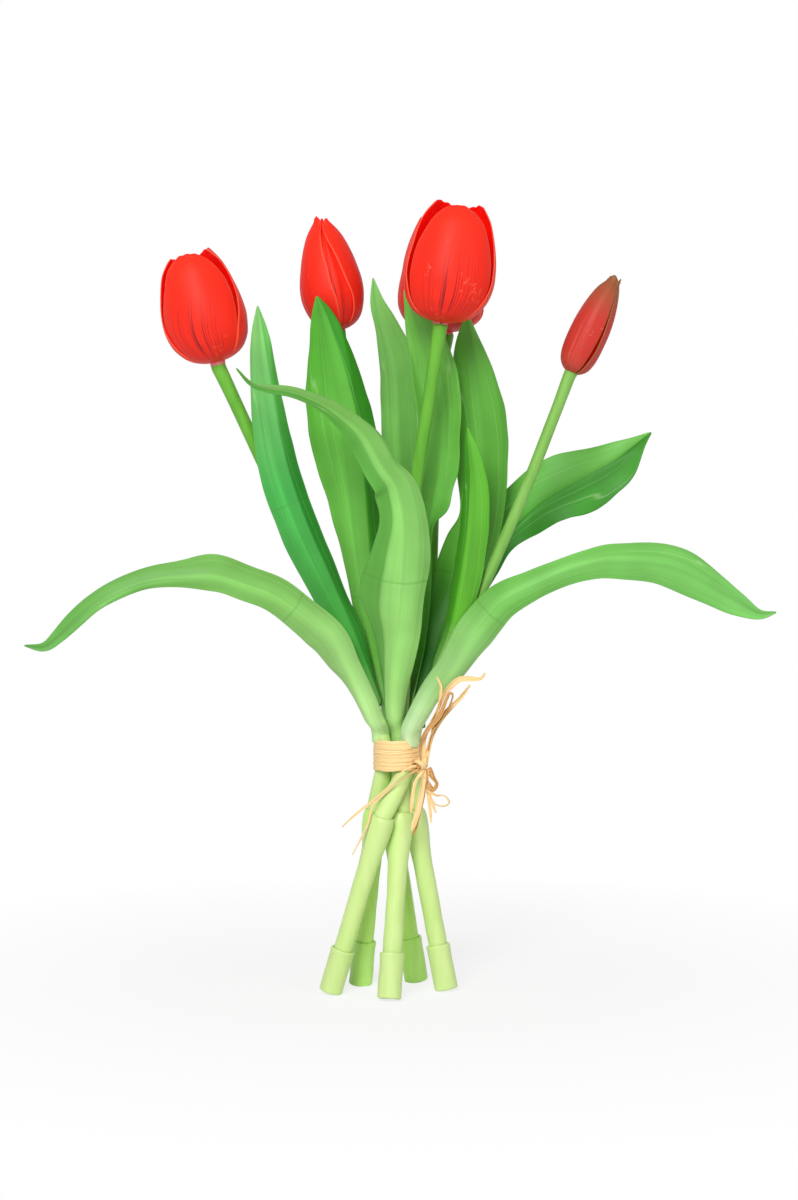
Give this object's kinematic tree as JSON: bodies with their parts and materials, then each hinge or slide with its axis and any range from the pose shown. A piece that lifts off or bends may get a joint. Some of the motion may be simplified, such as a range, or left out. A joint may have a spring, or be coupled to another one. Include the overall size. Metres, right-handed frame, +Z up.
{
  "type": "artificial tulip bouquet",
  "caption": "Free-standing hand-tied bunch of artificial tulips: red cupped blooms and a bud on bendable stems, long arching leaves and a raffia tie at the waist.",
  "frame": {"origin": "on the floor under the middle of the bunch", "axes": "+Z up along the bunch; the viewer of the picture stands on the -Y side; +X to the viewer's right, along the spread of the arching leaves"},
  "size_m": [0.3748, 0.1112, 0.3953],
  "materials": {
    "petal": "soft touch, faint lengthwise veins, wine-red streaks from the base",
    "bud_petal": "soft touch, dark red turning olive-brown at the edges",
    "neck_pink": "soft touch, pink",
    "pistil": "soft touch, pale yellow-green",
    "leaf": "soft touch with lengthwise veins, paler at the base",
    "green_stem": "soft touch, satin",
    "pale_stem": "soft touch, satin, pale yellow-green",
    "foot_sleeve": "satin, translucent pale green",
    "stem_wire": "annealed wire",
    "raffia": "dry fibrous palm leaf, straw to brown"
  },
  "bodies": {
    "bunch": {"raffia_bow": "raffia", "raffia_knot": "raffia", "raffia_tails": "raffia", "raffia_threads": "raffia", "raffia_tie": "raffia", "left_foot": "foot_sleeve", "left_lower_stem": "pale_stem", "left_stalk": "green_stem", "rear_left_foot": "foot_sleeve", "rear_left_lower_stem": "pale_stem", "rear_left_stalk": "green_stem", "front_foot": "foot_sleeve", "front_lower_stem": "pale_stem", "front_stalk": "green_stem", "rear_foot": "foot_sleeve", "rear_lower_stem": "pale_stem", "rear_stalk": "green_stem", "right_foot": "foot_sleeve", "right_lower_stem": "pale_stem", "right_stalk": "green_stem"},
    "left_stem": {"left_flower_stem": "green_stem", "left_stem_wire": "stem_wire"},
    "left_bloom": {"left_receptacle": "neck_pink", "left_outer_petals": "petal", "left_inner_petals": "petal", "left_pistil": "pistil"},
    "rear_left_stem": {"rear_left_flower_stem": "green_stem", "rear_left_stem_wire": "stem_wire"},
    "rear_left_bloom": {"rear_left_receptacle": "neck_pink", "rear_left_outer_petals": "petal", "rear_left_inner_petals": "petal"},
    "front_stem": {"front_flower_stem": "green_stem", "front_stem_wire": "stem_wire"},
    "front_bloom": {"front_receptacle": "neck_pink", "front_outer_petals": "petal", "front_inner_petals": "petal", "front_pistil": "pistil"},
    "rear_stem": {"rear_flower_stem": "green_stem", "rear_stem_wire": "stem_wire"},
    "rear_bloom": {"rear_receptacle": "neck_pink", "rear_outer_petals": "petal", "rear_inner_petals": "petal", "rear_pistil": "pistil"},
    "right_stem": {"right_flower_stem": "green_stem", "right_stem_wire": "stem_wire"},
    "right_bloom": {"right_receptacle": "neck_pink", "right_outer_petals": "bud_petal", "right_bud_core": "bud_petal"},
    "left_arch_leaf": {"left_arch_leaf": "leaf"},
    "left_tall_leaf": {"left_tall_leaf": "leaf"},
    "rear_left_broad_leaf": {"rear_left_broad_leaf": "leaf"},
    "rear_left_slim_leaf": {"rear_left_slim_leaf": "leaf"},
    "front_arch_leaf": {"front_arch_leaf": "leaf"},
    "front_tall_leaf": {"front_tall_leaf": "leaf"},
    "rear_tall_leaf": {"rear_tall_leaf": "leaf"},
    "rear_side_leaf": {"rear_side_leaf": "leaf"},
    "right_arch_leaf": {"right_arch_leaf": "leaf"},
    "right_slim_leaf": {"right_slim_leaf": "leaf"}
  },
  "joints": [
    {"name": "left_stem_bend", "type": "hinge", "parent": "bunch", "child": "left_stem", "pos_m": [-0.016, 0.005, 0.15], "axis": [-0.7885, -0.5914, -0.169], "range_deg": [-1, 8]},
    {"name": "left_bloom_turn", "type": "hinge", "parent": "left_stem", "child": "left_bloom", "pos_m": [-0.0909, 0.017, 0.315], "axis": [-0.2425, 0, 0.9701], "continuous": true},
    {"name": "rear_left_stem_bend", "type": "hinge", "parent": "bunch", "child": "rear_left_stem", "pos_m": [-0.006, 0.013, 0.15], "axis": [-0.8638, -0.5022, -0.0417], "range_deg": [-1, 8]},
    {"name": "rear_left_bloom_turn", "type": "hinge", "parent": "rear_left_stem", "child": "rear_left_bloom", "pos_m": [-0.0305, 0.03, 0.331], "axis": [-0.1386, 0, 0.9903], "continuous": true},
    {"name": "front_stem_bend", "type": "hinge", "parent": "bunch", "child": "front_stem", "pos_m": [0.002, -0.0015, 0.15], "axis": [0.9948, 0.0995, -0.0239], "range_deg": [-1, 6]},
    {"name": "front_bloom_turn", "type": "hinge", "parent": "front_stem", "child": "front_bloom", "pos_m": [0.0204, -0.014, 0.3348], "axis": [0.1386, 0, 0.9903], "continuous": true},
    {"name": "rear_stem_bend", "type": "hinge", "parent": "bunch", "child": "rear_stem", "pos_m": [0.011, 0.008, 0.15], "axis": [-0.9801, 0.196, 0.0327], "range_deg": [-1, 8]},
    {"name": "rear_bloom_turn", "type": "hinge", "parent": "rear_stem", "child": "rear_bloom", "pos_m": [0.024, 0.0375, 0.3295], "axis": [-0.0499, 0.0299, 0.9983], "continuous": true},
    {"name": "right_stem_bend", "type": "hinge", "parent": "bunch", "child": "right_stem", "pos_m": [0.0165, -0.0085, 0.15], "axis": [0, 0.9994, 0.0349], "range_deg": [-1, 10]},
    {"name": "right_bloom_turn", "type": "hinge", "parent": "right_stem", "child": "right_bloom", "pos_m": [0.0847, -0.008, 0.3104], "axis": [0.4178, 0.0182, 0.9083], "continuous": true},
    {"name": "left_arch_leaf_bend", "type": "hinge", "parent": "bunch", "child": "left_arch_leaf", "pos_m": [-0.01378, -0.00299, 0.13139], "axis": [0.5542, -0.7389, 0.3833], "range_deg": [0, 12]},
    {"name": "left_tall_leaf_bend", "type": "hinge", "parent": "bunch", "child": "left_tall_leaf", "pos_m": [-0.01237, -0.00056, 0.1479], "axis": [0.8534, 0.4904, 0.1768], "range_deg": [0, 4]},
    {"name": "rear_left_broad_leaf_bend", "type": "hinge", "parent": "bunch", "child": "rear_left_broad_leaf", "pos_m": [-0.00843, 0.00745, 0.13998], "axis": [0.5751, -0.7669, 0.2848], "range_deg": [0, 4]},
    {"name": "rear_left_slim_leaf_bend", "type": "hinge", "parent": "bunch", "child": "rear_left_slim_leaf", "pos_m": [0.00018, 0.01396, 0.14011], "axis": [-0.5751, 0.7669, -0.2848], "range_deg": [0, 3]},
    {"name": "front_arch_leaf_bend", "type": "hinge", "parent": "bunch", "child": "front_arch_leaf", "pos_m": [-0.00222, -0.00504, 0.13192], "axis": [0.8623, -0.4956, -0.1041], "range_deg": [0, 12]},
    {"name": "front_tall_leaf_bend", "type": "hinge", "parent": "bunch", "child": "front_tall_leaf", "pos_m": [0.00242, 0.00429, 0.14218], "axis": [-0.9754, 0.1991, 0.0949], "range_deg": [0, 3]},
    {"name": "rear_tall_leaf_bend", "type": "hinge", "parent": "bunch", "child": "rear_tall_leaf", "pos_m": [0.01345, 0.00215, 0.14126], "axis": [0.6819, 0.6819, -0.2648], "range_deg": [0, 4]},
    {"name": "rear_side_leaf_bend", "type": "hinge", "parent": "bunch", "child": "rear_side_leaf", "pos_m": [0.01369, 0.00873, 0.13868], "axis": [-0.5975, 0.7967, -0.0903], "range_deg": [0, 10]},
    {"name": "right_arch_leaf_bend", "type": "hinge", "parent": "bunch", "child": "right_arch_leaf", "pos_m": [0.00909, -0.01175, 0.1303], "axis": [0.7429, 0.5571, -0.3711], "range_deg": [0, 12]},
    {"name": "right_slim_leaf_bend", "type": "hinge", "parent": "bunch", "child": "right_slim_leaf", "pos_m": [0.00982, -0.0102, 0.14829], "axis": [0.2934, -0.9292, -0.2249], "range_deg": [0, 6]}
  ]
}
